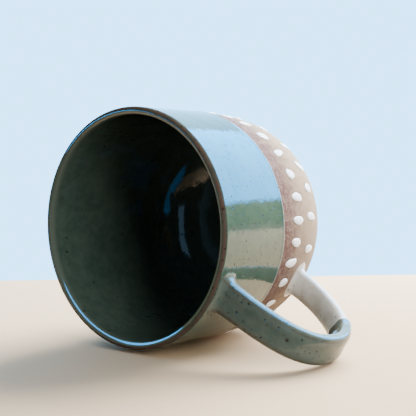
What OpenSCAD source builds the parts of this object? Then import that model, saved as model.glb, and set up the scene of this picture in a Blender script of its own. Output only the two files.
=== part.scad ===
// A wheel-thrown stoneware mug with a pulled strap handle.
// Millimetres. The mug stands on its foot: +Z is up, the origin is the centre of the foot's
// underside and the handle points along -X.

/* [Body] */
// Height from the foot to the top of the lip
mug_height = 81; // [76:1:95]
// Outer radius of the glazed lip
lip_radius = 45; // [42:0.5:46]
// Outer radius of the clay where the wall turns into the bowl
belly_radius = 45.9; // [45:0.1:48]
// Height at which the straight wall turns into the bowl
belly_height = 44; // [38:1:50]
// Squareness of the bowl curve, where 2 is an ellipse
bowl_squareness = 3.5; // [2.5:0.1:4.5]
// Clay thickness at the lip
lip_wall = 2.3; // [2:0.1:3.5]
// Clay thickness at the belly
belly_wall = 3.2; // [3:0.1:4.5]
// Clay thickness of the floor inside the foot ring
floor_wall = 5; // [4:0.5:7]

/* [Foot] */
// Outer radius of the turned foot ring
foot_radius = 31; // [26:0.5:33]
// Height of the foot ring
foot_height = 2.5; // [2:0.5:3]
// Width of the ring that touches the table
foot_width = 4; // [3:0.5:8]
// Depth of the recess inside the ring
foot_recess = 1.5; // [1:0.5:2]

/* [Glaze] */
// Thickness of every glaze coat
coat = 0.35; // [0.25:0.05:0.5]
// Height to which the green glaze reaches down the outside
glaze_line = 45.5; // [45:0.5:60]
// Height of the bead along the glaze's lower edge
bead_height = 1.2; // [0.8:0.1:2]
// How far the bead stands out of the coat
bead_swell = 0.15; // [0.1:0.05:0.3]

/* [Handle] */
// Distance from the mug's axis to the middle of the strap at its farthest point
handle_reach = 81.5; // [76:0.5:90]
// Height of the strap's farthest point
handle_turn = 54.5; // [50:0.5:58]
// Height at which the strap leaves the wall near the lip
upper_root = 75; // [74:0.5:76]
// Height at which the strap meets the wall near the foot
lower_root = 26.5; // [24:0.5:30]
// Strap width at the upper root
strap_width_top = 11.5; // [10:0.5:14]
// Strap width at the lower root
strap_width_bottom = 9.6; // [8:0.2:12]
// Strap thickness at the upper root
strap_thick_top = 3.6; // [3:0.1:5]
// Strap thickness at the lower root
strap_thick_bottom = 4.6; // [3:0.1:6]
// Squareness of the strap's section on the green half, where 2 is an ellipse
strap_squareness_top = 3.6; // [2:0.2:6]
// Squareness of the strap's section on the white half
strap_squareness_bottom = 2.4; // [2:0.2:6]
// How far the joint fillets spread at the wall
joint_spread = 1.8; // [1:0.1:2.2]

/* [Slip dots] */
// Radius of one dot
dot_radius = 2.1; // [1.4:0.1:2.3]
// Height of one dot above the clay
dot_rise = 0.8; // [0.6:0.1:1]
// Number of places in the upper ring
upper_dots = 32; // [24:1:36]
// Height of the upper ring
upper_dot_height = 34.9; // [34:0.1:36]
// Number of places in the lower ring
lower_dots = 25; // [20:1:30]
// Height of the lower ring
lower_dot_height = 22; // [19:0.5:23]

/* [Hidden] */
$fn = 256;

clay_colour = "#b98b6d";
green_colour = "#7f9388";
liner_colour = "#2f3d39";
white_colour = "#e6e1d8";
slip_colour = "#a87a5e";
dot_colour = "#f7f5f0";

// ---- wall, turned about Z ----
bowl_below = 2;            // how far under the mug the bowl's curve would close
bowl_depth = belly_height + bowl_below;
bowl_steps = 26;
bowl_crowding = 1.6;       // above 1, the bowl's points crowd towards the foot
lip_steps = 8;
bead_crest = 0.33;         // share of the bead's height at which it swells most
floor_height = foot_recess + floor_wall;
lip_clay = lip_radius - coat;
lip_round = lip_wall / 2;
lip_spring = mug_height - coat - lip_round; // where the straight wall turns into the round lip
inside_belly = belly_radius - belly_wall;

// Share of the full radius left at share u of the bowl's depth.
function superellipse(u, n) = pow(max(0, 1 - pow(u, n)), 1 / n);

// Clay's outer radius at height z: a straight taper above the belly, a bowl below it.
function outer_radius(z) =
    z > belly_height
    ? belly_radius + (lip_clay - belly_radius) * (z - belly_height) / (lip_spring - belly_height)
    : belly_radius * superellipse((belly_height - z) / bowl_depth, bowl_squareness);

// The bowl's outer curve, from the top of the foot ring up to the belly.
bowl_outside = [
    for (i = [0:bowl_steps])
        let (z = foot_height + (belly_height - foot_height) * pow(i / bowl_steps, bowl_crowding))
        [outer_radius(z), z]
];

// The inside curve, from the belly down to the middle of the floor, drawn in by inset.
function bowl_inside(inset) = [
    for (i = [0:bowl_steps])
        let (a = 90 * i / bowl_steps, n = 2 / bowl_squareness)
        [(inside_belly - inset) * pow(cos(a), n),
         belly_height - (belly_height - floor_height - inset) * pow(sin(a), n)]
];

// Part of the round lip, grown by grow, between two angles from the outside over the top.
function lip_arc(grow, from, to) = [
    for (i = [0:lip_steps])
        let (a = from + (to - from) * i / lip_steps)
        [lip_clay - lip_round + (lip_round + grow) * cos(a), lip_spring + (lip_round + grow) * sin(a)]
];

module filled_clay() {
    rotate_extrude()
        polygon(concat([[0, 0], [foot_radius, 0], [foot_radius, foot_height]], bowl_outside,
            [[lip_clay, lip_spring], [0, lip_spring]]));
}

module clay_body() {
    color(clay_colour)
        rotate_extrude()
            polygon(concat(
                [[0, foot_recess], [foot_radius - foot_width, foot_recess],
                 [foot_radius - foot_width, 0], [foot_radius, 0], [foot_radius, foot_height]],
                bowl_outside, lip_arc(0, 0, 180), bowl_inside(0)));
}

module liner_glaze() {
    inner = concat(lip_arc(coat, 90, 180), bowl_inside(coat));
    outer = concat(lip_arc(0, 90, 180), bowl_inside(0));
    color(liner_colour)
        rotate_extrude()
            polygon(concat(inner, [for (i = [len(outer) - 1:-1:0]) outer[i]]));
}

module outer_glaze() {
    bead_top = glaze_line + bead_height;
    skin = [
        [outer_radius(glaze_line), glaze_line],
        [outer_radius(glaze_line) + coat, glaze_line],
        [outer_radius(glaze_line) + coat + bead_swell, glaze_line + bead_height * bead_crest],
        [outer_radius(bead_top) + coat, bead_top]
    ];
    under = lip_arc(0, 0, 90);
    color(green_colour)
        difference() {
            rotate_extrude()
                polygon(concat(skin, lip_arc(coat, 0, 90), [for (i = [len(under) - 1:-1:0]) under[i]]));
            sweep(0, joint_end, sleeve_steps, coat, true);
        }
}

// ---- strap, swept along a curve in the XZ plane ----
root_depth = 1.6;          // how far the curve starts inside the wall's outer face
section_points = 16;
strap_steps = 30;          // steps along the whole strap
green_steps = 18;          // along the green coat, past its joint
white_steps = 8;           // along the white coat, up to its joint
root_steps = 5;            // along one joint
sleeve_steps = 6;          // along the upper joint where it cuts through the wall's coat
joint_end = 0.2;           // share of the curve that one fillet takes
slip_edge = 0.16;          // the slip stops here, where it is still a blunt edge thick
seam = 1.33;               // where the two handle glazes meet on the curve
round_from = 1.15;         // the section starts to grow rounder here
round_to = 1.5;            // and is as round as it gets from here on
upper_out = 24;            // pull of the curve out of the upper root
turn_up = 17;              // pull of the curve above its farthest point
turn_down = 15;            // pull of the curve below its farthest point
lower_out = 17;            // pull of the curve into the lower root

// The middle of the strap: 0 at the upper root, 1 at the farthest point, 2 at the lower root.
upper_curve = [
    [-outer_radius(upper_root) + root_depth, upper_root],
    [-outer_radius(upper_root) - upper_out, upper_root],
    [-handle_reach, handle_turn + turn_up],
    [-handle_reach, handle_turn]
];
lower_curve = [
    [-handle_reach, handle_turn],
    [-handle_reach, handle_turn - turn_down],
    [-outer_radius(lower_root) - lower_out, lower_root],
    [-outer_radius(lower_root) + root_depth, lower_root]
];

function bezier(p, t) =
    pow(1 - t, 3) * p[0] + 3 * t * pow(1 - t, 2) * p[1] + 3 * t * t * (1 - t) * p[2] + pow(t, 3) * p[3];
function bezier_slope(p, t) =
    pow(1 - t, 2) * (p[1] - p[0]) + 2 * t * (1 - t) * (p[2] - p[1]) + t * t * (p[3] - p[2]);
function unit(v) = v / norm(v);
function middle(u) = u <= 1 ? bezier(upper_curve, u) : bezier(lower_curve, u - 1);
function along(u) = unit(u <= 1 ? bezier_slope(upper_curve, u) : bezier_slope(lower_curve, u - 1));
function power(v, n) = sign(v) * pow(abs(v), n);

// Spread of the fillet at u: full at either root and nothing from joint_end on.
function spread(u) = joint_spread * pow(max(0, 1 - min(u, 2 - u) / joint_end), 2);

// Squareness of the section at u.
function squareness(u) =
    let (share = max(0, min(1, (u - round_from) / (round_to - round_from))))
    strap_squareness_top + (strap_squareness_bottom - strap_squareness_top) * share;

// One closed section of the strap at u, grown by grow.
function section(u, grow) =
    let (
        m = middle(u),
        t = along(u),
        wide = (strap_width_top + (strap_width_bottom - strap_width_top) * u / 2) / 2 + grow,
        thick = (strap_thick_top + (strap_thick_bottom - strap_thick_top) * u / 2) / 2 + grow
    )
    [for (k = [0:section_points - 1])
        let (
            a = 360 * k / section_points,
            w = wide * power(sin(a), 2 / squareness(u)),
            h = thick * power(cos(a), 2 / squareness(u))
        )
        [m[0] - t[1] * h, w, m[1] + t[0] * h]];

// Evenly spaced places along the curve from u0 to u1.
function places(u0, u1, steps) = [for (i = [0:steps]) u0 + (u1 - u0) * i / steps];

function side_faces(rings, first, flip) = [
    for (i = [0:rings - 2], k = [0:section_points - 1])
        let (
            a = first + i * section_points + k,
            b = first + i * section_points + (k + 1) % section_points,
            face = [a, b, b + section_points, a + section_points]
        )
        each flip
            ? [[face[0], face[1], face[2]], [face[0], face[2], face[3]]]
            : [[face[2], face[1], face[0]], [face[3], face[2], face[0]]]
];

// A solid strap from u0 to u1, grown by grow and, where asked, by the fillets too.
module sweep(u0, u1, steps, grow, fillets) {
    us = places(u0, u1, steps);
    points = [for (u = us) each section(u, grow + (fillets ? spread(u) : 0))];
    last = (len(us) - 1) * section_points;
    polyhedron(points = points, faces = concat(
        [[for (k = [section_points - 1:-1:0]) k]],
        [[for (k = [0:section_points - 1]) last + k]],
        side_faces(len(us), 0, true)), convexity = 4);
}

// A skin around the strap. outside and inside hold one [place, growth] pair per ring.
module shell(outside, inside) {
    points = concat(
        [for (r = outside) each section(r[0], r[1])],
        [for (r = inside) each section(r[0], r[1])]);
    n = section_points;
    in0 = len(outside) * n;
    out_last = in0 - n;
    in_last = in0 + (len(inside) - 1) * n;
    near_end = [for (k = [0:n - 1]) let (j = (k + 1) % n)
        each [[k, in0 + k, in0 + j], [k, in0 + j, j]]];
    far_end = [for (k = [0:n - 1]) let (j = (k + 1) % n)
        each [[out_last + j, in_last + j, in_last + k], [out_last + j, in_last + k, out_last + k]]];
    polyhedron(points = points, faces = concat(side_faces(len(outside), 0, true),
        side_faces(len(inside), in0, false), near_end, far_end), convexity = 6);
}

module handle_strap() {
    color(clay_colour)
        difference() {
            sweep(0, 2, strap_steps, 0, false);
            filled_clay();
        }
}

module upper_joint_slip() {
    us = places(0, slip_edge, root_steps);
    color(slip_colour)
        difference() {
            shell([for (u = us) [u, spread(u)]], [for (u = us) [u, 0]]);
            filled_clay();
        }
}

module lower_joint_slip() {
    us = places(2 - slip_edge, 2, root_steps);
    color(slip_colour)
        difference() {
            shell([for (u = us) [u, spread(u)]], [for (u = us) [u, 0]]);
            filled_clay();
        }
}

module handle_green_glaze() {
    root = places(0, slip_edge, root_steps);
    rest = places(slip_edge, seam, green_steps);
    color(green_colour)
        difference() {
            shell(
                concat([for (u = root) [u, coat + spread(u)]], [for (u = rest) [u, coat + spread(u)]]),
                concat([for (u = root) [u, spread(u)]], [for (u = rest) [u, 0]]));
            filled_clay();
        }
}

module handle_white_glaze() {
    rest = places(seam, 2 - slip_edge, white_steps);
    root = places(2 - slip_edge, 2, root_steps);
    color(white_colour)
        difference() {
            shell(
                concat([for (u = rest) [u, coat + spread(u)]], [for (u = root) [u, coat + spread(u)]]),
                concat([for (u = rest) [u, 0]], [for (u = root) [u, spread(u)]]));
            filled_clay();
        }
}

// ---- slip dots, low caps on the bare clay ----
dot_ball = (dot_radius * dot_radius + dot_rise * dot_rise) / (2 * dot_rise);
dot_facets = 96;
handle_angle = 180;        // the handle's direction about Z
joint_clear = 12;          // no dot within this angle of the handle where the joint is
joint_reach = 9;           // the joint's half height, with room for a dot
upper_start = -0.3;        // degrees from the handle to each ring's first place
lower_start = 3.8;
upper_wander = [1.5, 42, 120]; // size in degrees, step and start of a dot's wander round the ring
lower_wander = [1.5, 80, 240];
upper_lift = [2, 34, 90];  // size in millimetres, step and start of its wander up and down
lower_lift = [2, 58, 30];

// How far the dot at place i wanders.
function stray(i, by) = by[0] * sin(i * by[1] + by[2]);

// One dot at an angle about Z and a height, standing out of the clay by dot_rise.
module dot(angle, z) {
    rotate([0, 0, angle])
        translate([outer_radius(z) + dot_rise - dot_ball, 0, z])
            sphere(r = dot_ball, $fn = dot_facets);
}

// A ring of dots whose places wander a little, as if set down by hand.
module dot_ring(count, start, height, wander, lift) {
    difference() {
        for (i = [0:count - 1]) {
            angle = (handle_angle + start + i * 360 / count + stray(i, wander)) % 360;
            z = height + stray(i, lift);
            if (abs(angle - handle_angle) > joint_clear || abs(z - lower_root) > joint_reach)
                dot(angle, z);
        }
        rotate([0, 0, handle_angle + 180 / count])
            filled_clay();
    }
}

module upper_slip_dots() {
    color(dot_colour)
        dot_ring(upper_dots, upper_start, upper_dot_height, upper_wander, upper_lift);
}

module lower_slip_dots() {
    color(dot_colour)
        dot_ring(lower_dots, lower_start, lower_dot_height, lower_wander, lower_lift);
}

clay_body();
liner_glaze();
outer_glaze();
handle_strap();
handle_green_glaze();
handle_white_glaze();
upper_joint_slip();
lower_joint_slip();
upper_slip_dots();
lower_slip_dots();
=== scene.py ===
import bpy
import math
import numpy as np
from mathutils import Matrix, Vector


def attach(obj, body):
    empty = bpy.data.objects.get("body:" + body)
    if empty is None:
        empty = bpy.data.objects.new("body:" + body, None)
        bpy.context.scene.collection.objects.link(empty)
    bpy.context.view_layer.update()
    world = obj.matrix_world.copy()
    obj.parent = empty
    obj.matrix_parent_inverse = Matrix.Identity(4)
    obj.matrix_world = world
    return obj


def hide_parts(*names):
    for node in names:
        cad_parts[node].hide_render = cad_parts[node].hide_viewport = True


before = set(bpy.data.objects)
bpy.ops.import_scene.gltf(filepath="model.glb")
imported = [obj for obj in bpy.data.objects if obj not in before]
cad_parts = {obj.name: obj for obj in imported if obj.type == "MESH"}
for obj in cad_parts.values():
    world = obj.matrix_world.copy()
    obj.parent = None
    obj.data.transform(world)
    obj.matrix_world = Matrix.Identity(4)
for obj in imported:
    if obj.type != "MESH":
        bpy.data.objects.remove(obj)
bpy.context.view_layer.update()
mm = 0.001
print("frame loaded")


# The camera comes first, because the floor and the lamps are placed from it.

cameraView = {
    "place": (-154.2, -103.2, 275.6),  # millimetres in the mug's own frame
    "aim": (-5.4, -10.8, 44.4),
    "lens": 62.6, "sensor": 36.0,  # millimetres
    "roll": 0.84,  # degrees
    "clip": (0.01, 20.0),  # metres
}
tableSide = 120.0  # degrees about Z: the mug lies on its side, and the table is this way from its axis

down = Vector((math.cos(math.radians(tableSide)), math.sin(math.radians(tableSide)), 0.0))
place = Vector(cameraView["place"]) * mm
ahead = (Vector(cameraView["aim"]) * mm - place).normalized()
across = ahead.cross(-down).normalized()
across = Matrix.Rotation(math.radians(cameraView["roll"]), 3, ahead) @ across
upward = across.cross(ahead).normalized()
cameraData = bpy.data.cameras.new("camera")
cameraData.lens = cameraView["lens"]
cameraData.sensor_width = cameraView["sensor"]
cameraData.clip_start, cameraData.clip_end = cameraView["clip"]
camera = bpy.data.objects.new("camera", cameraData)
turn = Matrix((across, upward, -ahead)).transposed().to_4x4()
camera.matrix_world = Matrix.Translation(place) @ turn
bpy.context.scene.collection.objects.link(camera)
bpy.context.scene.camera = camera
print("camera placed")


# Meshes from grids of points.

def gridMesh(name, points, ringClosed=False, poles=False):
    # points is rows x columns x 3, in millimetres. Columns always close up. Rows either close
    # up too, as on a hollow ring, or end in a point at the middle of the first and last row.
    rows, columns = points.shape[:2]
    index = np.arange(rows * columns).reshape(rows, columns)
    nextColumn = np.roll(index, -1, axis=1)
    top, topNext = (index, nextColumn) if ringClosed else (index[:-1], nextColumn[:-1])
    low = np.roll(index, -1, axis=0) if ringClosed else index[1:]
    lowNext = np.roll(low, -1, axis=1)
    quads = np.stack([top, low, lowNext, topNext], axis=-1).reshape(-1, 4)
    flat = points.reshape(-1, 3)
    fans = np.zeros((0, 3), int)
    if poles:
        ends = np.stack([points[0].mean(axis=0), points[-1].mean(axis=0)])
        flat = np.concatenate([flat, ends])
        first, last = rows * columns, rows * columns + 1
        near = np.stack([np.full(columns, first), index[0], nextColumn[0]], axis=-1)
        far = np.stack([np.full(columns, last), nextColumn[-1], index[-1]], axis=-1)
        fans = np.concatenate([near, far])
    # the signed volume says which way the faces look
    triangles = np.concatenate([quads[:, :3], quads[:, [0, 2, 3]], fans])
    a, b, c = (flat[triangles[:, k]] for k in range(3))
    if np.einsum("ij,ij->i", a, np.cross(b, c)).sum() < 0:
        quads, fans = quads[:, ::-1], fans[:, ::-1]
    return meshObject(name, flat * mm, quads.tolist() + fans.tolist())


def meshObject(name, points, faces):
    # a smooth-shaded object at the origin from points in metres
    mesh = bpy.data.meshes.new(name)
    mesh.from_pydata(points.tolist(), [], faces)
    mesh.polygons.foreach_set("use_smooth", np.ones(len(mesh.polygons), bool))
    mesh.update()
    piece = bpy.data.objects.new(name, mesh)
    bpy.context.scene.collection.objects.link(piece)
    return piece


def pointValue(piece, name, values):
    # one number per vertex; the pole points that gridMesh adds take the first and last value
    values = np.asarray(values, float).reshape(-1)
    if len(piece.data.vertices) > len(values):
        values = np.concatenate([values, [values[0], values[-1]]])
    layer = piece.data.attributes.new(name, "FLOAT", "POINT")
    layer.data.foreach_set("value", values)


def standsFor(piece, material, node):
    # the piece rides on the only body and takes the place of one node of the CAD part
    piece.data.materials.append(material)
    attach(piece, "root")
    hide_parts(node)


def smoothStep(x):
    # 0 below 0, 1 above 1, and x squared times (3 - 2x) between
    x = np.clip(x, 0.0, 1.0)
    return x * x * (3.0 - 2.0 * x)


# Short ways to add and join shader nodes.

def addNode(tree, kind, **values):
    # a value whose name is a property goes on the node, and any other goes on the input of that name
    node = tree.nodes.new(kind)
    for key, value in values.items():
        label = key.replace("_", " ")
        if hasattr(node, key):
            setattr(node, key, value)
        elif isinstance(value, bpy.types.NodeSocket):
            tree.links.new(value, node.inputs[label])
        else:
            node.inputs[label].default_value = value
    return node


def plug(tree, value, socket):
    # links a socket, or sets a plain value
    if isinstance(value, bpy.types.NodeSocket):
        tree.links.new(value, socket)
    else:
        socket.default_value = value


def maths(tree, operation, a, b=0.0, c=0.0):
    node = tree.nodes.new("ShaderNodeMath")
    node.operation = operation
    for value, socket in zip((a, b, c), node.inputs):
        plug(tree, value, socket)
    return node.outputs[0]


def mixColour(tree, factor, a, b):
    # a where the factor is 0, b where it is 1
    node = tree.nodes.new("ShaderNodeMix")
    node.data_type = "RGBA"
    plug(tree, factor, node.inputs["Factor"])
    plug(tree, a, node.inputs[6])
    plug(tree, b, node.inputs[7])
    return node.outputs[2]


def remap(tree, value, low, high, newLow=0.0, newHigh=1.0):
    # a smooth step from newLow at low to newHigh at high
    node = tree.nodes.new("ShaderNodeMapRange")
    node.interpolation_type = "SMOOTHSTEP"
    node.clamp = True
    for item, socket in zip((value, low, high, newLow, newHigh), node.inputs):
        plug(tree, item, socket)
    return node.outputs[0]


def noise(tree, where, scale, detail, roughness=0.5):
    node = addNode(tree, "ShaderNodeTexNoise", Vector=where, Scale=scale, Detail=detail, Roughness=roughness)
    return node.outputs["Fac"]


def rising(tree, value, ends):
    return remap(tree, value, *ends)


def falling(tree, value, ends):
    return remap(tree, value, *ends, 1.0, 0.0)


def dotWith(tree, vector, direction):
    # how far the vector points along a fixed direction
    node = tree.nodes.new("ShaderNodeVectorMath")
    node.operation = "DOT_PRODUCT"
    tree.links.new(vector, node.inputs[0])
    node.inputs[1].default_value = tuple(direction)
    return node.outputs["Value"]


def newGroup(name, inputs, outputs):
    # inputs and outputs are name: (socket type, default) and name: socket type
    tree = bpy.data.node_groups.new(name, "ShaderNodeTree")
    for key, (kind, default) in inputs.items():
        socket = tree.interface.new_socket(key, in_out="INPUT", socket_type=kind)
        if default is not None:
            socket.default_value = default
    for key, kind in outputs.items():
        tree.interface.new_socket(key, in_out="OUTPUT", socket_type=kind)
    return tree, tree.nodes.new("NodeGroupInput"), tree.nodes.new("NodeGroupOutput")


def useGroup(tree, group, **values):
    node = tree.nodes.new("ShaderNodeGroup")
    node.node_tree = group
    for key, value in values.items():
        plug(tree, value, node.inputs[key])
    return node


floatSocket, vectorSocket = "NodeSocketFloat", "NodeSocketVector"


speckShape = {
    "bendScale": 1800.0, "bend": 0.0005,  # metres
    "smallest": 0.25, "spread": 0.75, "skew": 1.7, "fade": (0.6, 1.1), "haloFade": (0.7, 2.2),
}


def ironSpecksGroup():
    # Dark iron specks: one per Voronoi cell, each with its own size, and only in some cells.
    tree, given, out = newGroup("ironSpecks", {
        "Vector": (vectorSocket, None), "Scale": (floatSocket, None),
        "Size": (floatSocket, None), "Amount": (floatSocket, None)},
        {"Mask": floatSocket, "Halo": floatSocket})
    warp = addNode(tree, "ShaderNodeTexNoise", Vector=given.outputs["Vector"], Detail=2.0,
                   Scale=speckShape["bendScale"])
    bent = addNode(tree, "ShaderNodeVectorMath", operation="MULTIPLY_ADD")
    tree.links.new(warp.outputs["Color"], bent.inputs[0])
    bent.inputs[1].default_value = (speckShape["bend"],) * 3
    tree.links.new(given.outputs["Vector"], bent.inputs[2])
    cells = addNode(tree, "ShaderNodeTexVoronoi", Vector=bent.outputs[0], Scale=given.outputs["Scale"])
    chance = tree.nodes.new("ShaderNodeSeparateColor")
    tree.links.new(cells.outputs["Color"], chance.inputs[0])
    there = maths(tree, "LESS_THAN", chance.outputs["Red"], given.outputs["Amount"])
    spread = maths(tree, "POWER", chance.outputs["Green"], speckShape["skew"])
    spread = maths(tree, "MULTIPLY_ADD", spread, speckShape["spread"], speckShape["smallest"])
    radius = maths(tree, "MULTIPLY", spread, given.outputs["Size"])
    nearness = maths(tree, "DIVIDE", cells.outputs["Distance"], radius)
    mask = maths(tree, "MULTIPLY", falling(tree, nearness, speckShape["fade"]), there)
    halo = maths(tree, "MULTIPLY", falling(tree, nearness, speckShape["haloFade"]), there)
    tree.links.new(mask, out.inputs["Mask"])
    tree.links.new(halo, out.inputs["Halo"])
    return tree


cloudRange = (0.3, 0.7)  # the part of the noise's range that is stretched to 0 to 1


def mottleGroup():
    # Cloudy variation at two scales, about 0 to 1, for where a glaze lies thick or thin.
    tree, given, out = newGroup("mottle", {
        "Vector": (vectorSocket, None), "Coarse": (floatSocket, 45.0), "Fine": (floatSocket, 260.0),
        "FineShare": (floatSocket, 0.45)}, {"Value": floatSocket})
    where = given.outputs["Vector"]
    wide = rising(tree, noise(tree, where, given.outputs["Coarse"], 3.0, 0.55), cloudRange)
    tight = rising(tree, noise(tree, where, given.outputs["Fine"], 4.0, 0.6), cloudRange)
    both = tree.nodes.new("ShaderNodeMix")
    plug(tree, given.outputs["FineShare"], both.inputs[0])
    plug(tree, wide, both.inputs[2])
    plug(tree, tight, both.inputs[3])
    tree.links.new(both.outputs[0], out.inputs["Value"])
    return tree


grogGrain = {"scale": 1500.0, "fade": (0.15, 0.45), "paleAbove": 0.82, "darkBelow": 0.14,
             "sandScale": 2600.0, "paleHeight": 0.5}


def grogGroup():
    # Coarse fired clay: pale and dark grains, and a height for the sandy skin.
    tree, given, out = newGroup("grog", {"Vector": (vectorSocket, None)},
                                {"Pale": floatSocket, "Dark": floatSocket, "Height": floatSocket})
    grains = addNode(tree, "ShaderNodeTexVoronoi", Vector=given.outputs["Vector"], Scale=grogGrain["scale"])
    tone = tree.nodes.new("ShaderNodeSeparateColor")
    tree.links.new(grains.outputs["Color"], tone.inputs[0])
    inside = falling(tree, grains.outputs["Distance"], grogGrain["fade"])
    isPale = maths(tree, "GREATER_THAN", tone.outputs["Red"], grogGrain["paleAbove"])
    isDark = maths(tree, "LESS_THAN", tone.outputs["Red"], grogGrain["darkBelow"])
    pale = maths(tree, "MULTIPLY", isPale, inside)
    dark = maths(tree, "MULTIPLY", isDark, inside)
    sand = noise(tree, given.outputs["Vector"], grogGrain["sandScale"], 3.0)
    tree.links.new(pale, out.inputs["Pale"])
    tree.links.new(dark, out.inputs["Dark"])
    height = maths(tree, "MULTIPLY_ADD", pale, grogGrain["paleHeight"], sand)
    tree.links.new(height, out.inputs["Height"])
    return tree


ironSpecks, mottle, grog = ironSpecksGroup(), mottleGroup(), grogGroup()


def newMaterial(name):
    # a Principled shader joined to its output, and Object coordinates for its patterns
    material = bpy.data.materials.new(name)
    material.use_nodes = True
    tree = material.node_tree
    tree.nodes.clear()
    shader = tree.nodes.new("ShaderNodeBsdfPrincipled")
    result = tree.nodes.new("ShaderNodeOutputMaterial")
    tree.links.new(shader.outputs[0], result.inputs[0])
    where = tree.nodes.new("ShaderNodeTexCoord").outputs["Object"]
    return material, tree, shader, where


def bump(tree, shader, height, distance):
    node = addNode(tree, "ShaderNodeBump", Strength=1.0, Distance=distance)
    tree.links.new(height, node.inputs["Height"])
    tree.links.new(node.outputs[0], shader.inputs["Normal"])


def attribute(tree, name):
    return addNode(tree, "ShaderNodeAttribute", attribute_name=name).outputs["Fac"]


# Materials: glazes, bare clay and slip.

glazeSkin = {
    "edgeShare": 0.85, "speckShare": 0.85, "haloShare": 0.3,
    "wearScale": 200.0, "wearRange": (0.36, 0.54), "wearShare": (0.35, 0.95),
    "speckRough": 0.15, "bareRough": 0.40, "cloudRough": 0.04,
    "index": 1.47, "rippleScale": 110.0, "pit": -0.25,
}
greenLook = {
    "thick": (0.027, 0.060, 0.048, 1.0), "thin": (0.060, 0.098, 0.070, 1.0),
    # edge: a painted highlight, the pale sky-blue glint along the glaze's bead, used on the glaze line and
    # the strap's seam
    "speck": (0.016, 0.014, 0.010, 1.0), "edge": (0.60, 0.72, 0.70, 1.0),
    "bare": (0.058, 0.030, 0.020, 1.0), "roughness": 0.06, "waves": 0.00016, "gloss": 0.5,
}


def glazeMaterial(name, look, specks):
    # A glossy coat, cloudy where it lies thick or thin, with iron specks through it. The edge value marks
    # where it ends and mixes in the look's edge colour: on the green glazes that is a painted highlight, a
    # pale sky-blue line where the bead would catch the light; on the white glaze it is a brown thin glaze,
    # and on the liner a lighter green near the lip. The bare value marks where it runs thin over a corner.
    material, tree, shader, where = newMaterial(name)
    cloud = useGroup(tree, mottle, Vector=where).outputs["Value"]
    fine = useGroup(tree, ironSpecks, Vector=where, **specks["fine"])
    large = useGroup(tree, ironSpecks, Vector=where, **specks["large"])
    colour = mixColour(tree, cloud, look["thick"], look["thin"])
    # the edge colour goes in here: a painted highlight on the green glazes, brown thin glaze on the white,
    # lighter green on the liner
    edge = maths(tree, "MULTIPLY", attribute(tree, "edge"), glazeSkin["edgeShare"])
    colour = mixColour(tree, edge, colour, look["edge"])
    worn = noise(tree, where, glazeSkin["wearScale"], 3.0, 0.6)
    worn = remap(tree, worn, *glazeSkin["wearRange"], *glazeSkin["wearShare"])
    bare = maths(tree, "MULTIPLY", attribute(tree, "bare"), worn)
    colour = mixColour(tree, bare, colour, look["bare"])
    halo = maths(tree, "MAXIMUM", fine.outputs["Halo"], large.outputs["Halo"])
    colour = mixColour(tree, maths(tree, "MULTIPLY", halo, glazeSkin["haloShare"]), colour, look["speck"])
    dots = maths(tree, "MAXIMUM", fine.outputs["Mask"], large.outputs["Mask"])
    colour = mixColour(tree, maths(tree, "MULTIPLY", dots, glazeSkin["speckShare"]), colour, look["speck"])
    tree.links.new(colour, shader.inputs["Base Color"])
    rough = maths(tree, "MULTIPLY_ADD", dots, glazeSkin["speckRough"], look["roughness"])
    rough = maths(tree, "MULTIPLY_ADD", bare, glazeSkin["bareRough"], rough)
    rough = maths(tree, "MULTIPLY_ADD", cloud, glazeSkin["cloudRough"], rough)
    tree.links.new(rough, shader.inputs["Roughness"])
    shader.inputs["IOR"].default_value = glazeSkin["index"]
    shader.inputs["Specular IOR Level"].default_value = look["gloss"]
    ripple = noise(tree, where, glazeSkin["rippleScale"], 3.0, 0.55)
    height = maths(tree, "MULTIPLY_ADD", dots, glazeSkin["pit"], ripple)
    bump(tree, shader, height, look["waves"])
    return material


greenSpecks = {"fine": {"Scale": 800.0, "Size": 0.34, "Amount": 0.45},
               "large": {"Scale": 260.0, "Size": 0.19, "Amount": 0.24}}
greenGlaze = glazeMaterial("greenGlaze", greenLook, greenSpecks)
lipLook = dict(greenLook, thick=(0.028, 0.040, 0.034, 1.0), thin=(0.064, 0.074, 0.062, 1.0),
               bare=(0.080, 0.046, 0.036, 1.0), roughness=0.46, gloss=0.0)
lipGlaze = glazeMaterial("lipGlaze", lipLook, greenSpecks)
strapLook = dict(greenLook, thick=(0.068, 0.100, 0.088, 1.0), thin=(0.114, 0.140, 0.118, 1.0),
                 waves=0.00045, gloss=0.38)
strapGlaze = glazeMaterial("strapGlaze", strapLook, greenSpecks)
linerLook = dict(greenLook, thick=(0.026, 0.045, 0.036, 1.0), thin=(0.052, 0.074, 0.058, 1.0),
                 speck=(0.006, 0.006, 0.005, 1.0), edge=(0.070, 0.086, 0.070, 1.0))
linerSpecks = {"fine": {"Scale": 500.0, "Size": 0.25, "Amount": 0.10},
               "large": {"Scale": 170.0, "Size": 0.18, "Amount": 0.16}}
linerGlaze = glazeMaterial("linerGlaze", linerLook, linerSpecks)
whiteLook = dict(greenLook, thick=(0.70, 0.69, 0.65, 1.0), thin=(0.44, 0.39, 0.33, 1.0),
                 speck=(0.13, 0.10, 0.07, 1.0), edge=(0.46, 0.34, 0.25, 1.0),
                 bare=(0.34, 0.26, 0.20, 1.0), roughness=0.24)
whiteSpecks = {"fine": {"Scale": 700.0, "Size": 0.28, "Amount": 0.26},
               "large": {"Scale": 240.0, "Size": 0.17, "Amount": 0.20}}
whiteGlaze = glazeMaterial("whiteGlaze", whiteLook, whiteSpecks)

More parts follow.
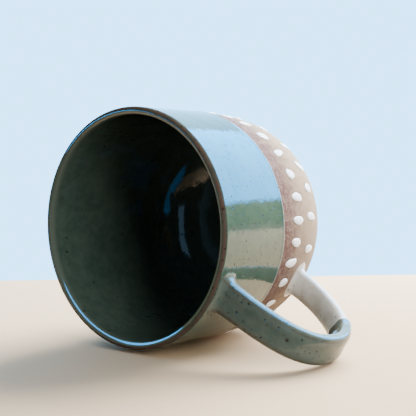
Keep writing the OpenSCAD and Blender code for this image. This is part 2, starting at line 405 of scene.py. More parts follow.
clayLook = {
    "toasted": (0.092, 0.036, 0.029, 1.0), "sandy": (0.300, 0.205, 0.130, 1.0),
    "pale": (0.46, 0.36, 0.27, 1.0), "dark": (0.10, 0.048, 0.03, 1.0),
    "toastedAbove": 43.5, "sandyBelow": 24.0, "wander": 10.0,  # millimetres
    "cloud": {"Coarse": 70.0, "Fine": 500.0}, "cloudShare": 0.14,
    "grit": {"Coarse": 420.0, "Fine": 1300.0}, "gritRange": (0.35, 0.75), "gritShare": 0.20,
    "paleShare": 0.5, "darkShare": 0.6, "roughness": 0.78, "gloss": 0.12, "grain": 0.00012,
}


def clayMaterial(name, look):
    # Bare stoneware: toasted reddish brown close under the glaze, sandy towards the foot. The
    # height where one turns into the other wanders with the clouds.
    material, tree, shader, where = newMaterial(name)
    split = tree.nodes.new("ShaderNodeSeparateXYZ")
    tree.links.new(where, split.inputs[0])
    cloud = useGroup(tree, mottle, Vector=where, **look["cloud"]).outputs["Value"]
    centred = maths(tree, "SUBTRACT", cloud, 0.5)
    height = maths(tree, "MULTIPLY_ADD", centred, look["wander"] * mm, split.outputs["Z"])
    toast = remap(tree, height, look["sandyBelow"] * mm, look["toastedAbove"] * mm)
    colour = mixColour(tree, toast, look["sandy"], look["toasted"])
    grit = useGroup(tree, mottle, Vector=where, **look["grit"]).outputs["Value"]
    colour = mixColour(tree, maths(tree, "MULTIPLY", cloud, look["cloudShare"]), colour, look["pale"])
    grit = remap(tree, grit, *look["gritRange"], 0.0, look["gritShare"])
    colour = mixColour(tree, grit, colour, look["pale"])
    grains = useGroup(tree, grog, Vector=where)
    for tone in ("Pale", "Dark"):
        share = maths(tree, "MULTIPLY", grains.outputs[tone], look[tone.lower() + "Share"])
        colour = mixColour(tree, share, colour, look[tone.lower()])
    tree.links.new(colour, shader.inputs["Base Color"])
    shader.inputs["Roughness"].default_value = look["roughness"]
    shader.inputs["Specular IOR Level"].default_value = look["gloss"]
    bump(tree, shader, grains.outputs["Height"], look["grain"])
    return material


bareClay = clayMaterial("bareClay", clayLook)
claySlip = clayMaterial("claySlip", dict(clayLook, sandy=(0.26, 0.16, 0.11, 1.0)))

slipLook = {
    "light": (0.93, 0.93, 0.92, 1.0), "shaded": (0.87, 0.86, 0.84, 1.0), "foot": (0.20, 0.10, 0.06, 1.0),
    "footRange": (0.03, 0.22), "footShare": 0.8, "cloud": {"Coarse": 300.0, "Fine": 900.0},
    "roughness": 0.35, "brush": 0.00008,
}


def slipMaterial():
    # Thick white slip, brown and thin only at the very foot of each dot.
    material, tree, shader, where = newMaterial("whiteSlip")
    cloud = useGroup(tree, mottle, Vector=where, **slipLook["cloud"]).outputs["Value"]
    body = mixColour(tree, cloud, slipLook["light"], slipLook["shaded"])
    foot = falling(tree, attribute(tree, "rise"), slipLook["footRange"])
    foot = maths(tree, "MULTIPLY", foot, slipLook["footShare"])
    tree.links.new(mixColour(tree, foot, body, slipLook["foot"]), shader.inputs["Base Color"])
    shader.inputs["Roughness"].default_value = slipLook["roughness"]
    bump(tree, shader, cloud, slipLook["brush"])
    return material


whiteSlip = slipMaterial()
print("materials made")


# The turned wall: clay, outer glaze and liner.

mugWall = {  # millimetres, as in the CAD part
    "height": 81.0, "lipRadius": 45.0, "lipWall": 2.3, "coat": 0.35,
    "bellyRadius": 45.9, "bellyHeight": 44.0, "bellyWall": 3.2, "bowlDepth": 46.0,
    "squareness": 3.5, "floorHeight": 6.5, "around": 320,
    "sunk": 0.03,  # how far each coat's underside lies inside the clay
}
footRing = {"radius": 31.0, "height": 2.5, "width": 4.0, "recess": 1.5, "round": 0.7,
            "discs": (0.5, 8.0, 18.0)}  # radii of the rings that make up the flat recess
glazeEdge = {
    "height": 45.5, "wave": 0.28, "waves": ((1.0, 3.0, 0.4), (0.6, 7.0, 0.0), (0.35, 19.0, 1.0)),
    # mark: how wide the painted highlight along the glaze line's bead is, in millimetres
    "round": 0.35, "bead": 0.16, "beadFrom": 0.3, "beadHeight": 0.9, "mark": 0.45,
}
lipWear = {"corner": 52.0, "spread": 22.0, "dull": 0.3, "lean": 0.9}  # degrees, then millimetres
linerEdge = {"below": 1.2, "fade": 1.4, "centre": 0.4}
throwing = {"oval": 0.07, "lobes": 0.04, "lines": 0.004, "pitch": 4.6, "twist": 60.0, "outside": 25.0}

wallTurn = np.linspace(0.0, 2.0 * np.pi, mugWall["around"], endpoint=False)
lipClay = mugWall["lipRadius"] - mugWall["coat"]
lipRound = mugWall["lipWall"] / 2.0
lipSpring = mugWall["height"] - mugWall["coat"] - lipRound
insideBelly = mugWall["bellyRadius"] - mugWall["bellyWall"]


def superellipse(share):
    # the other coordinate of a superellipse of size 1: (1 - share^n)^(1/n)
    n = mugWall["squareness"]
    return np.maximum(0.0, 1.0 - np.clip(share, 0.0, 1.0) ** n) ** (1.0 / n)


def clayRadius(z):
    # a straight taper above the belly and a superellipse bowl below it
    z = np.asarray(z, float)
    rise = (z - mugWall["bellyHeight"]) / (lipSpring - mugWall["bellyHeight"])
    straight = mugWall["bellyRadius"] + (lipClay - mugWall["bellyRadius"]) * rise
    bowl = mugWall["bellyRadius"] * superellipse((mugWall["bellyHeight"] - z) / mugWall["bowlDepth"])
    return np.where(z > mugWall["bellyHeight"], straight, bowl)


def handWobble(angle, z):
    # the small unevenness of a hand-thrown wall, as sines of the angle: an oval that turns with
    # the height, three lobes, and faint spiral throwing lines
    oval = throwing["oval"] * np.sin(2.0 * angle + 0.6 + z / throwing["twist"])
    lobes = throwing["lobes"] * np.sin(3.0 * angle + 2.0)
    lines = throwing["lines"] * np.sin(2.0 * np.pi * z / throwing["pitch"] + angle)
    return oval + lobes + lines


def arc(centre, radius, start, stop, steps):
    # points on a circle, from one angle in degrees to another
    a = np.radians(np.linspace(start, stop, steps))
    return np.stack([centre[0] + radius * np.cos(a), centre[1] + radius * np.sin(a)], axis=-1)


def lipArc(grow, start, stop, steps=18):
    # round the lip's half circle: 0 degrees is outside, 90 on top and 180 inside
    return arc((lipClay - lipRound, lipSpring), lipRound + grow, start, stop, steps)


def insideCurve(inset, steps=70):
    # from the lip down the straight wall, then the bowl to the middle of the floor
    n = 2.0 / mugWall["squareness"]
    a = np.linspace(0.0, 0.5 * np.pi, steps)
    depth = mugWall["bellyHeight"] - mugWall["floorHeight"] - inset
    bowl = np.stack([(insideBelly - inset) * np.cos(a).clip(0.0) ** n,
                     mugWall["bellyHeight"] - depth * np.sin(a) ** n], axis=-1)
    share = np.linspace(0.0, 1.0, 24)[:-1, None]
    start = np.array([lipClay - 2.0 * lipRound - inset, lipSpring])
    wall = start + (bowl[0] - start) * share
    return np.concatenate([wall[1:], bowl[:-1]])


def turned(name, outline, **options):
    # outline is rows x 2 (radius, height), turned about Z. What lies close to the axis doesn't wobble.
    isWall = outline[:, :1] > throwing["outside"]
    radius = outline[:, :1] + handWobble(wallTurn[None, :], outline[:, 1:]) * isWall
    x = radius * np.cos(wallTurn)
    y = radius * np.sin(wallTurn)
    z = np.broadcast_to(outline[:, 1:], x.shape)
    return gridMesh(name, np.stack([x, y, z], axis=-1), **options)


def clayBodyPiece():
    # One outline all the way round, turned: the recess, the foot ring with rounded corners, the
    # bowl, the straight wall, the lip and the inside.
    ring, soft = footRing, footRing["round"]
    inner, outer = ring["radius"] - ring["width"], ring["radius"]
    z = ring["height"] + (mugWall["bellyHeight"] - ring["height"]) * np.linspace(0.0, 1.0, 60) ** 1.6
    wall = np.linspace(mugWall["bellyHeight"], lipSpring, 40)[1:]
    outline = np.concatenate([
        [[radius, ring["recess"]] for radius in ring["discs"]],
        arc((inner - soft, ring["recess"] - soft), soft, 90.0, 0.0, 6),
        arc((inner + soft, soft), soft, 180.0, 270.0, 6),
        arc((outer - soft, soft), soft, 270.0, 360.0, 6),
        arc((outer + soft, ring["height"] - soft), soft, 180.0, 90.0, 6),
        np.stack([clayRadius(z), z], axis=-1),
        np.stack([clayRadius(wall), wall], axis=-1),
        lipArc(0.0, 0.0, 180.0, 24)[1:],
        insideCurve(0.0),
    ])
    piece = turned("clayBody", outline, poles=True)
    standsFor(piece, bareClay, "clay_body")


def outerGlazePiece():
    # A skin from the glaze line up over the outer half of the lip. Its lower edge waves a
    # little, ends in a quarter round and swells into a bead just above.
    coat, edge, sunk = mugWall["coat"], glazeEdge, mugWall["sunk"]
    waves = sum(share * np.sin(count * wallTurn + start) for share, count, start in edge["waves"])
    line = edge["height"] + edge["wave"] * waves
    share = np.concatenate([np.linspace(0.0, 0.06, 22), np.linspace(0.07, 1.0, 90)])[:, None]
    z = line + (lipSpring - line) * share
    up = z - line
    thick = coat * np.sqrt(1.0 - (1.0 - np.clip(up / edge["round"], 0.0, 1.0)) ** 2)
    thick = thick + edge["bead"] * smoothStep(up / edge["beadFrom"]) * np.exp(-(up / edge["beadHeight"]) ** 2)
    radius = clayRadius(z) + thick + handWobble(wallTurn[None, :], z)
    lipRows = np.concatenate([lipArc(coat, 0.0, 90.0)[1:], lipArc(-sunk, 90.0, 0.0)])
    lipR = lipRows[:, :1] + handWobble(wallTurn[None, :], lipRows[:, 1:])
    lipZ = np.broadcast_to(lipRows[:, 1:], lipR.shape)
    underZ = z[::-2]
    underR = clayRadius(underZ) - sunk + handWobble(wallTurn[None, :], underZ)
    radius = np.concatenate([radius, lipR, underR])
    height = np.concatenate([z, lipZ, underZ])
    points = np.stack([radius * np.cos(wallTurn), radius * np.sin(wallTurn), height], axis=-1)
    piece = gridMesh("outerGlaze", points, ringClosed=True)
    # the edge value paints a pale highlight along the bead at the glaze line
    pointValue(piece, "edge", np.exp(-((height - line) / edge["mark"]) ** 2))
    lipTurn = np.degrees(np.arctan2(height - lipSpring, radius - (lipClay - lipRound)))
    corner = np.exp(-((lipTurn - lipWear["corner"]) / lipWear["spread"]) ** 2)
    pointValue(piece, "bare", np.where(height > lipSpring, corner, 0.0))
    standsFor(piece, greenGlaze, "outer_glaze")
    dullLip(piece)


def dullLip(piece):
    # The lip has a dull glaze of its own, which reaches lower on the side away from the handle.
    piece.data.materials.append(lipGlaze)
    centres = np.empty(3 * len(piece.data.polygons))
    piece.data.polygons.foreach_get("center", centres)
    x, y, z = centres.reshape(-1, 3).T
    fromHandle = x / np.hypot(x, y)
    onLip = z > (lipSpring - lipWear["dull"] - lipWear["lean"] * fromHandle) * mm
    piece.data.polygons.foreach_set("material_index", onLip.astype(int))


def linerGlazePiece():
    # the inside's outline carried over the lip, out by the coat and back a little inside the clay
    coat, sunk, floor = mugWall["coat"], mugWall["sunk"], mugWall["floorHeight"]
    over = np.concatenate([lipArc(coat, 90.0, 180.0), insideCurve(coat)])
    under = np.concatenate([lipArc(-sunk, 90.0, 180.0), insideCurve(-sunk)])[::-1]
    middle = [[linerEdge["centre"], floor + coat], [linerEdge["centre"], floor - sunk]]
    outline = np.concatenate([over, middle, under])
    piece = turned("linerGlaze", outline, ringClosed=True)
    height = np.repeat(outline[:, 1], len(wallTurn))
    above = height - lipSpring + linerEdge["below"]
    pointValue(piece, "edge", np.where(above > 0.0, smoothStep(above / linerEdge["fade"]), 0.0))
    pointValue(piece, "bare", np.zeros(len(height)))
    standsFor(piece, linerGlaze, "liner_glaze")


clayBodyPiece()
outerGlazePiece()
linerGlazePiece()
print("wall turned")


# The strap handle, its two coats and its two joints.

strap = {  # millimetres; the curve, the widths and the thicknesses are those of the CAD part
    "reach": 81.5, "turn": 54.5, "upperRoot": 75.0, "lowerRoot": 26.5, "rootDepth": 1.6,
    "upperOut": 24.0, "turnUp": 17.0, "turnDown": 15.0, "lowerOut": 17.0,
    "widthTop": 11.5, "widthBottom": 9.6, "thickTop": 3.6, "thickBottom": 4.6,
    "squareGreen": 3.2, "squareWhite": 2.3, "roundFrom": 1.15, "roundTo": 1.5, "around": 96,
    "groove": 0.077, "grooveWidth": 0.42, "hug": 7.0,
}
joint = {"upperFillet": 2.4, "lowerFillet": 2.6, "flare": 0.5, "flareLength": 5.0,
         "upperSpan": 0.14, "lowerSpan": 1.86, "past": 0.004,  # places along the strap
         "skin": 0.12, "sunk": 0.06}
strapCoat = {  # u runs from 0 at the upper root to 2 at the lower one, about 50 mm for each 1
    "seam": 1.33, "seamWaves": ((0.035, 1.0, 0.9), (0.012, 3.0, 0.0), (0.006, 7.0, 0.0)),
    "overlap": 0.02, "whiteUnder": 0.06, "perU": 38.0, "fineTo": 0.16, "fineFrom": 1.84,
    "bead": 0.22, "beadFrom": 0.5, "beadLength": 2.2, "round": 0.35, "sunk": 0.05,
    # the seam's width and share set a painted highlight, the pale edge colour along the seam's bead
    "seamGlintWidth": 0.3, "rootMark": 0.35, "corner": 45.0, "cornerWidth": 9.0,  # corners are in degrees
    "seamGlintShare": 0.35, "rootShare": 0.8, "rootFrom": 1.6, "greenWorn": 0.5, "whiteWorn": 0.25,
}


def strapCurve():
    # two cubic Bezier curves, root to farthest point and on to the other root, in the XZ plane
    top, low = clayRadius(strap["upperRoot"]), clayRadius(strap["lowerRoot"])
    upper = np.array([[-top + strap["rootDepth"], strap["upperRoot"]],
                      [-top - strap["upperOut"], strap["upperRoot"]],
                      [-strap["reach"], strap["turn"] + strap["turnUp"]],
                      [-strap["reach"], strap["turn"]]])
    lower = np.array([[-strap["reach"], strap["turn"]],
                      [-strap["reach"], strap["turn"] - strap["turnDown"]],
                      [-low - strap["lowerOut"], strap["lowerRoot"]],
                      [-low + strap["rootDepth"], strap["lowerRoot"]]])
    return upper, lower


def alongStrap(u):
    # the middle of the strap and the unit tangent at u, from 0 at the upper root to 2
    upper, lower = strapCurve()
    t = np.where(u <= 1.0, u, u - 1.0)[..., None]
    p = np.where((u <= 1.0)[..., None, None], upper, lower)
    a, b, c, d = (p[..., k, :] for k in range(4))
    middle = (1 - t) ** 3 * a + 3 * t * (1 - t) ** 2 * b + 3 * t * t * (1 - t) * c + t ** 3 * d
    slope = (1 - t) ** 2 * (b - a) + 2 * t * (1 - t) * (c - b) + t * t * (d - c)
    return middle, slope / np.linalg.norm(slope, axis=-1, keepdims=True)


def fillet(away, radius):
    # growth towards the wall: a quarter circle, tangent to the wall and the strap, and a slow flare
    quarter = radius - np.sqrt(np.maximum(0.0, radius ** 2 - np.clip(radius - away, 0.0, radius) ** 2))
    return quarter + joint["flare"] * np.exp(-np.maximum(away, 0.0) / joint["flareLength"])


def coatedRadius(z):
    # the wall's outside, glaze included above the glaze line
    return clayRadius(z) + mugWall["coat"] * (z > glazeEdge["height"])


def strapSurface(u, turnAngle, grow):
    # u and turnAngle broadcast to rows x columns. Each section is a superellipse, and close to a
    # root it bends to follow the round wall.
    middle, tangent = alongStrap(u)
    rounder = np.clip((u - strap["roundFrom"]) / (strap["roundTo"] - strap["roundFrom"]), 0.0, 1.0)
    n = 2.0 / (strap["squareGreen"] + (strap["squareWhite"] - strap["squareGreen"]) * rounder)
    c, s = np.cos(turnAngle), np.sin(turnAngle)
    roundC, roundS = np.sign(c) * np.abs(c) ** n, np.sign(s) * np.abs(s) ** n
    share = u / 2.0
    wide = (strap["widthTop"] + (strap["widthBottom"] - strap["widthTop"]) * share) / 2.0 + grow
    thick = (strap["thickTop"] + (strap["thickBottom"] - strap["thickTop"]) * share) / 2.0 + grow
    # the thumb's path down the outer face
    groove = strap["groove"] * np.exp(-(roundS / strap["grooveWidth"]) ** 2) * (c < 0)
    y = wide * roundS
    h = thick * roundC * (1.0 - groove)
    x = middle[..., 0] - tangent[..., 1] * h
    z = middle[..., 1] + tangent[..., 0] * h
    wallHere, wallMiddle = coatedRadius(z), coatedRadius(middle[..., 1])
    away = -middle[..., 0] - wallMiddle
    hug = 1.0 - smoothStep(away / strap["hug"])
    bend = wallMiddle - np.sqrt(np.maximum(wallHere ** 2 - y ** 2, 1.0))
    x = x + bend * hug
    return np.stack([np.broadcast_to(x, y.shape), y, np.broadcast_to(z, y.shape)], axis=-1), away


def rootPlace(end):
    # where the strap's middle crosses the wall's surface, at the upper (0) or lower (2) root
    u = np.linspace(0.0, 0.3, 400) if end == 0 else np.linspace(2.0, 1.7, 400)
    middle, _ = alongStrap(u)
    return float(np.interp(0.0, -middle[:, 0] - coatedRadius(middle[:, 1]), u))


upperStart, lowerEnd = rootPlace(0), rootPlace(2)
strapTurn = np.linspace(0.0, 2.0 * np.pi, strap["around"], endpoint=False)[None, :]


def rootGrowth(u, turnAngle):
    # how far the joints swell the strap at u
    _, away = strapSurface(u, turnAngle, 0.0)
    radius = np.where(u < 1.0, joint["upperFillet"], joint["lowerFillet"])
    return fillet(away, radius)


def coatSurface(name, u, thick, material, edge, bare, node):
    # a closed tube skin: the outside from u[0] to u[-1] and the underside back again
    swell = rootGrowth(u, strapTurn)
    outside, _ = strapSurface(u, strapTurn, swell + thick)
    under, _ = strapSurface(u[::-1], strapTurn, (swell - strapCoat["sunk"])[::-1])
    piece = gridMesh(name, np.concatenate([outside, under]), ringClosed=True)
    pointValue(piece, "edge", np.concatenate([edge, edge[::-1]]))
    corner = (np.degrees(strapTurn) % 90.0 - strapCoat["corner"]) / strapCoat["cornerWidth"]
    thin = bare * np.exp(-corner ** 2) + 0.0 * u
    pointValue(piece, "bare", np.concatenate([thin, thin[::-1]]))
    standsFor(piece, material, node)


def greenStrapPiece(wander, closeToRoot):
    # from the upper joint to a seam that runs a little askew round the strap, with a bead there
    near = upperStart - joint["past"] + (strapCoat["fineTo"] - upperStart) * closeToRoot
    greenEnd = strapCoat["seam"] + strapCoat["overlap"] + wander
    span = np.linspace(0.0, 1.0, 110)[1:, None]
    far = near[-1] + (greenEnd - near[-1]) * (1.0 - (1.0 - span) ** 1.25)
    u = np.concatenate([near + 0.0 * wander, far])
    left = (greenEnd - u) * strapCoat["perU"]  # how far it is to the seam, in steps of about 1.3 mm
    bead = smoothStep(left / strapCoat["beadFrom"]) * np.exp(-(left / strapCoat["beadLength"]) ** 2)
    thick = mugWall["coat"] + strapCoat["bead"] * bead
    thick = thick * np.sqrt(1.0 - (1.0 - np.clip(left / strapCoat["round"], 0.0, 1.0)) ** 2)
    # a painted highlight: the pale edge colour laid along the seam's bead
    mark = strapCoat["seamGlintShare"] * np.exp(-(left / strapCoat["seamGlintWidth"]) ** 2)
    coatSurface("handleGreenGlaze", u, thick, strapGlaze, mark, strapCoat["greenWorn"],
                "handle_green_glaze")


def whiteStrapPiece(wander, closeToRoot):
    # from under the green's end to the lower joint
    start = strapCoat["seam"] - strapCoat["whiteUnder"]
    span = np.linspace(0.0, 1.0, 80)[:, None]
    far = lowerEnd + joint["past"] - (lowerEnd - strapCoat["fineFrom"]) * closeToRoot[::-1]
    u = np.concatenate([start + (far[0] - start) * span[:-1], far]) + 0.0 * wander
    thick = np.full(u.shape, mugWall["coat"] - mugWall["sunk"])
    _, away = strapSurface(u, strapTurn, 0.0)
    away = np.broadcast_to(away, u.shape)
    mark = np.exp(-(away / strapCoat["rootMark"]) ** 2) * (u > strapCoat["rootFrom"])
    coatSurface("handleWhiteGlaze", u, thick, whiteGlaze, strapCoat["rootShare"] * mark,
                strapCoat["whiteWorn"], "handle_white_glaze")


def strapClayPieces():
    # the clay strap and its two joint slips, under the coats
    u = np.linspace(upperStart - 0.01, lowerEnd + 0.01, 120)[:, None] + 0.0 * strapTurn
    points, _ = strapSurface(u, strapTurn, -joint["skin"])
    standsFor(gridMesh("handleStrap", points, poles=True), bareClay, "handle_strap")
    for name, ends, node in (
            ("upperJointSlip", (upperStart - joint["past"], joint["upperSpan"]), "upper_joint_slip"),
            ("lowerJointSlip", (joint["lowerSpan"], lowerEnd + joint["past"]), "lower_joint_slip")):
        u = np.linspace(*ends, 24)[:, None] + 0.0 * strapTurn
        swell = np.maximum(rootGrowth(u, strapTurn) - joint["skin"], 0.0)
        outside, _ = strapSurface(u, strapTurn, swell)
        under, _ = strapSurface(u[::-1], strapTurn, -joint["sunk"])
        piece = gridMesh(name, np.concatenate([outside, under]), ringClosed=True)
        standsFor(piece, claySlip, node)


def handlePieces():
    closeToRoot = (np.linspace(0.0, 1.0, 26) ** 1.7)[:, None]
    wander = sum(size * np.sin(count * strapTurn + start) for size, count, start in strapCoat["seamWaves"])
    greenStrapPiece(wander, closeToRoot)
    whiteStrapPiece(wander, closeToRoot)
    strapClayPieces()


handlePieces()
print("handle swept")


# The raised slip dots.

dotShape = {
    "long": 3.40, "short": 1.85, "rise": 0.50, "sunk": 0.15, "rings": 11, "around": 30,  # millimetres
    "vary": (0.88, 0.24), "varyRise": (0.85, 0.3), "uneven": ((0.10, 2), (0.06, 3)), "tilt": 0.6,
    "innermost": 0.08, "tuck": 0.97, "dome": (2.6, 0.55),  # shares of the dot's size, then powers
}
dotRings = {  # wander in degrees and lift in millimetres: size, step from dot to dot, start
    "upperSlipDots": {"count": 32, "start": -0.3, "height": 34.9, "wander": (1.5, 42.0, 120.0),
                      "lift": (2.0, 34.0, 90.0), "seed": 39, "node": "upper_slip_dots"},
    "lowerSlipDots": {"count": 25, "start": 3.8, "height": 22.0, "wander": (1.5, 80.0, 240.0),
                      "lift": (2.0, 58.0, 30.0), "seed": 32, "node": "lower_slip_dots"},
}
handleAngle, jointClear, jointReach = 180.0, 12.0, 9.0  # degrees, degrees, millimetres


def dotPlaces(ring):
    # evenly round the wall, each a little off by a sine, and none where the strap's lower joint is
    i = np.arange(ring["count"])
    size, step, start = ring["wander"]
    angle = handleAngle + ring["start"] + i * 360.0 / ring["count"]
    angle = angle + size * np.sin(np.radians(i * step + start))
    size, step, start = ring["lift"]
    z = ring["height"] + size * np.sin(np.radians(i * step + start))
    off = np.abs((angle - handleAngle + 180.0) % 360.0 - 180.0)
    keep = (off > jointClear) | (np.abs(z - strap["lowerRoot"]) > jointReach)
    return np.radians(angle[keep])[:, None, None], z[keep][:, None, None]


def dotOutlines(ring, dots):
    # Each dot is a low dome over an uneven oval: its height is rise times (1 - share^2.6)^0.55.
    chance = np.random.default_rng(ring["seed"]).random((dots, 6))
    pick = [chance[:, k][:, None, None] for k in range(6)]
    around = np.linspace(0.0, 2.0 * np.pi, dotShape["around"], endpoint=False)[None, None, :]
    share = np.linspace(dotShape["innermost"], 1.0, dotShape["rings"])[None, :, None]
    outline = 1.0
    for (size, count), start in zip(dotShape["uneven"], pick[:2]):
        outline = outline + size * np.cos(count * around + 6.28 * start)  # 6.28 is about a full turn
    least, spread = dotShape["vary"]
    leastRise, spreadRise = dotShape["varyRise"]
    east = share * outline * dotShape["long"] * (least + spread * pick[2]) * np.cos(around)
    north = share * outline * dotShape["short"] * (least + spread * pick[3]) * np.sin(around)
    tilt = (pick[4] - 0.5) * dotShape["tilt"] + 0.5 * np.pi  # the long way runs up the wall
    east, north = east * np.cos(tilt) - north * np.sin(tilt), east * np.sin(tilt) + north * np.cos(tilt)
    inner, outer = dotShape["dome"]
    dome = np.maximum(0.0, 1.0 - share ** inner) ** outer
    high = dotShape["rise"] * (leastRise + spreadRise * pick[5]) * dome + 0.0 * east
    # two more rings close it underneath, inside the clay
    below = np.full((dots, 2, dotShape["around"]), -dotShape["sunk"])
    high = np.concatenate([high, below], axis=1)
    east, north = (np.concatenate([side, side[:, -1:] * dotShape["tuck"], side[:, :1]], axis=1)
                   for side in (east, north))
    return east, north, high


def slipDots(name, ring):
    # all the dots of a ring in one mesh, each wrapped on to the clay wall round its own middle
    angle, z = dotPlaces(ring)
    east, north, high = dotOutlines(ring, len(z))
    height = z + north
    radius = clayRadius(height) + handWobble(angle, height) + high
    turnTo = angle + east / clayRadius(z)
    points = np.stack([radius * np.cos(turnTo), radius * np.sin(turnTo), height], axis=-1)
    dots, rows, columns = high.shape
    flat = points.reshape(dots, rows * columns, 3)
    poles = np.stack([points[:, 0].mean(axis=1), points[:, -1].mean(axis=1)], axis=1)
    flat = np.concatenate([flat, poles], axis=1)
    index = np.arange(rows * columns).reshape(rows, columns)
    after = np.roll(index, -1, axis=1)
    quads = np.stack([index[:-1], index[1:], after[1:], after[:-1]], axis=-1).reshape(-1, 4)
    top = np.stack([np.full(columns, rows * columns), index[0], after[0]], axis=-1)
    low = np.stack([np.full(columns, rows * columns + 1), after[-1], index[-1]], axis=-1)
    shift = np.arange(dots)[:, None, None] * (rows * columns + 2)
    quads = (quads[None] + shift).reshape(-1, 4)
    fans = (np.concatenate([top, low])[None] + shift).reshape(-1, 3)
    piece = meshObject(name, flat.reshape(-1, 3) * mm, quads.tolist() + fans.tolist())
    ends = [np.full((dots, 1), 1.0), np.full((dots, 1), -1.0)]  # the two poles of each dot
    rise = np.concatenate([high.reshape(dots, -1), *ends], axis=1)
    pointValue(piece, "rise", rise / dotShape["rise"])
    standsFor(piece, whiteSlip, ring["node"])


for name, ring in dotRings.items():
    slipDots(name, ring)
print("slip dots placed")


# The floor, the lamps and the surroundings.

floorSettings = {  # millimetres from the mug's axis
    "depth": 46.6, "reach": 177.0, "front": -105.0, "apron": -900.0, "side": 1600.0,
    "colour": (0.45, 0.315, 0.19, 1.0), "roughness": 0.7, "gloss": 0.06,
}
level = (ahead - down * ahead.dot(down)).normalized()  # away from the camera along the table
sideways = level.cross(-down)


def floorMaterial():
    # plain tan paint, clear when seen from behind
    material, tree, shader, _ = newMaterial("floorPaint")
    shader.inputs["Base Color"].default_value = floorSettings["colour"]
    shader.inputs["Roughness"].default_value = floorSettings["roughness"]
    shader.inputs["Specular IOR Level"].default_value = floorSettings["gloss"]
    clear = tree.nodes.new("ShaderNodeBsdfTransparent")
    choose = tree.nodes.new("ShaderNodeMixShader")
    tree.links.new(tree.nodes.new("ShaderNodeNewGeometry").outputs["Backfacing"], choose.inputs[0])
    tree.links.new(shader.outputs[0], choose.inputs[1])
    tree.links.new(clear.outputs[0], choose.inputs[2])
    result = next(node for node in tree.nodes if node.type == "OUTPUT_MATERIAL")
    tree.links.new(choose.outputs[0], result.inputs[0])
    return material


def floorPiece(name, near, far, material, mirrored):
    # A plain sheet beside the belly and the strap's edge, from near to far along the table.
    middle = down * floorSettings["depth"] * mm
    corners = [middle + (level * reach + sideways * wide * floorSettings["side"]) * mm
               for reach, wide in ((near, -1), (far, -1), (far, 1), (near, 1))]
    mesh = bpy.data.meshes.new(name)
    mesh.from_pydata([tuple(c) for c in corners], [], [(0, 1, 2, 3)])
    if mesh.polygons[0].normal.dot(down) > 0:
        mesh.flip_normals()
    mesh.materials.append(material)
    sheet = bpy.data.objects.new(name, mesh)
    sheet.visible_glossy = mirrored
    sheet.visible_diffuse = False  # the mug's lower side is lit by the world's "under" colour instead
    bpy.context.scene.collection.objects.link(sheet)


lamps = {  # millimetres from the mug's middle: away from the camera, straight up, to the right
    "softKey": {"place": (430.0, 430.0, 380.0), "size": (760.0, 620.0), "watts": 85.0,
                "colour": (0.90, 0.95, 1.0)},
    "roomLamp": {"place": (-560.0, 190.0, 330.0), "size": (300.0, 300.0), "watts": 5.0,
                 "colour": (1.0, 1.0, 0.97)},
}


def softLamp(name, given):
    # A wide soft light that lights surfaces but isn't mirrored in them.
    data = bpy.data.lights.new(name, "AREA")
    data.shape = "RECTANGLE"
    data.size, data.size_y = given["size"][0] * mm, given["size"][1] * mm
    data.energy = given["watts"]
    data.color = given["colour"]
    lamp = bpy.data.objects.new(name, data)
    centre = Vector((0.0, 0.0, 0.5 * mugWall["height"] * mm))
    away, up, right = given["place"]
    offset = level * away - down * up + sideways * right
    lamp.location = centre + offset * mm
    lamp.rotation_mode = "QUATERNION"
    lamp.rotation_quaternion = (-offset).to_track_quat("-Z", "Y")
    lamp.visible_glossy = False
    lamp.visible_camera = False
    bpy.context.scene.collection.objects.link(lamp)


skyLook = {
    "fill": (1.0, 0.98, 0.95, 1.0), "under": (0.50, 0.38, 0.26, 1.0), "bright": 1.2, "dim": 0.04,
    "sky": (0.65, 12.0, 29.0, 1.0), "hedge": (0.50, 0.68, 0.30, 1.0), "ground": (1.3, 1.1, 0.75, 1.0),
    "card": (1.27, 3.6, 6.2, 1.0), "room": (0.010, 0.022, 0.024, 1.0), "window": (0.40, 0.80, 1.25, 1.0),
}
skyPlan = {  # where each part begins and is full, as a share of the direction's length
    "lean": {"forward": 0.6, "rise": 0.8, "right": 0.45}, "leanRange": (-0.6, 0.9),
    "hedgeRise": (0.22, 0.29), "hedgeForward": (0.70, 0.80), "cardForward": (0.69, 0.73),
    "roomForward": (-0.15, -0.05), "roomRise": (0.70, 0.80), "groundRise": (-0.03, 0.01),
    "underRise": (-0.15, 0.05), "raggedScale": 5.0, "ragged": 0.20,
    "windowRight": (-0.43, -0.22, 0.03), "windowRise": (-0.26, 0.42, 0.03),  # from, to, softness
}


def band(tree, value, low, high, soft):
    # 1 between low and high, with soft sides
    start, stop = rising(tree, value, (low, low + soft)), falling(tree, value, (high, high + soft))
    return maths(tree, "MULTIPLY", start, stop)


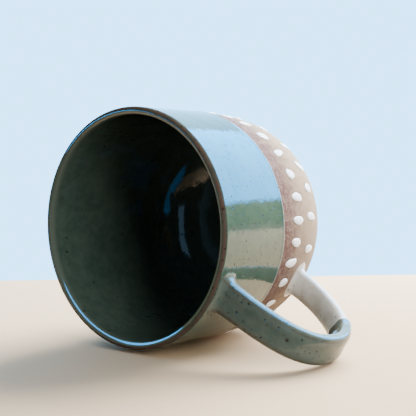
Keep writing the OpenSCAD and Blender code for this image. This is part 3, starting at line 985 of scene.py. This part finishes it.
def mirroredSurroundings(tree, direction, rise, forward, right):
    # A pale card behind the mug, a darker hedge line low round the rest, bright sky over it, and a
    # dark room with one tall window on the viewer's side. The card and the hedge have ragged ends.
    ragged = noise(tree, direction, skyPlan["raggedScale"], 3.0, 0.6)
    jag = maths(tree, "SUBTRACT", ragged, 0.5)
    jag = maths(tree, "MULTIPLY", jag, skyPlan["ragged"])
    hedge = falling(tree, maths(tree, "ADD", rise, jag), skyPlan["hedgeRise"])
    hedge = maths(tree, "MULTIPLY", hedge, falling(tree, forward, skyPlan["hedgeForward"]))
    card = rising(tree, maths(tree, "ADD", forward, jag), skyPlan["cardForward"])
    room = falling(tree, forward, skyPlan["roomForward"])
    room = maths(tree, "MULTIPLY", room, falling(tree, rise, skyPlan["roomRise"]))
    window = band(tree, right, *skyPlan["windowRight"])
    window = maths(tree, "MULTIPLY", window, band(tree, rise, *skyPlan["windowRise"]))
    mirrored = mixColour(tree, hedge, skyLook["sky"], skyLook["hedge"])
    mirrored = mixColour(tree, card, mirrored, skyLook["card"])
    mirrored = mixColour(tree, falling(tree, rise, skyPlan["groundRise"]), mirrored, skyLook["ground"])
    viewerSide = mixColour(tree, window, skyLook["room"], skyLook["window"])
    return mixColour(tree, room, mirrored, viewerSide)


def fillLight(tree, rise, forward, right):
    # Weak light for lit surfaces, brightest from behind, above and the right, and a warm one from below.
    lean = maths(tree, "MULTIPLY_ADD", forward, skyPlan["lean"]["forward"],
                 maths(tree, "MULTIPLY", rise, skyPlan["lean"]["rise"]))
    lean = maths(tree, "MULTIPLY_ADD", right, skyPlan["lean"]["right"], lean)
    strength = remap(tree, lean, *skyPlan["leanRange"], skyLook["dim"], skyLook["bright"])
    below = falling(tree, rise, skyPlan["underRise"])
    colour = mixColour(tree, below, skyLook["fill"], skyLook["under"])
    strength = maths(tree, "MAXIMUM", strength, below)
    return addNode(tree, "ShaderNodeBackground", Color=colour, Strength=strength)


def worldLight():
    # One surroundings for each kind of ray: a plain backdrop for the camera, the fill for lit
    # surfaces, and a small scene for what is mirrored in the glaze.
    world = bpy.data.worlds.new("studio")
    bpy.context.scene.world = world
    world.use_nodes = True
    tree = world.node_tree
    tree.nodes.clear()
    direction = tree.nodes.new("ShaderNodeTexCoord").outputs["Generated"]
    rise, forward, right = (dotWith(tree, direction, side) for side in (-down, level, sideways))
    mirrored = mirroredSurroundings(tree, direction, rise, forward, right)
    fill = fillLight(tree, rise, forward, right)
    shine = addNode(tree, "ShaderNodeBackground", Color=mirrored, Strength=1.0)
    plain = addNode(tree, "ShaderNodeBackground", Color=skyLook["card"], Strength=1.0)
    path = tree.nodes.new("ShaderNodeLightPath").outputs
    first, second = tree.nodes.new("ShaderNodeMixShader"), tree.nodes.new("ShaderNodeMixShader")
    tree.links.new(path["Is Glossy Ray"], first.inputs[0])
    tree.links.new(fill.outputs[0], first.inputs[1])
    tree.links.new(shine.outputs[0], first.inputs[2])
    tree.links.new(path["Is Camera Ray"], second.inputs[0])
    tree.links.new(first.outputs[0], second.inputs[1])
    tree.links.new(plain.outputs[0], second.inputs[2])
    result = tree.nodes.new("ShaderNodeOutputWorld")
    tree.links.new(second.outputs[0], result.inputs[0])


floorPaint = floorMaterial()
floorPiece("floor", floorSettings["front"], floorSettings["reach"], floorPaint, True)
floorPiece("floorApron", floorSettings["apron"], floorSettings["front"], floorPaint, False)
for name, given in lamps.items():
    softLamp(name, given)
worldLight()
print("floor and light set")
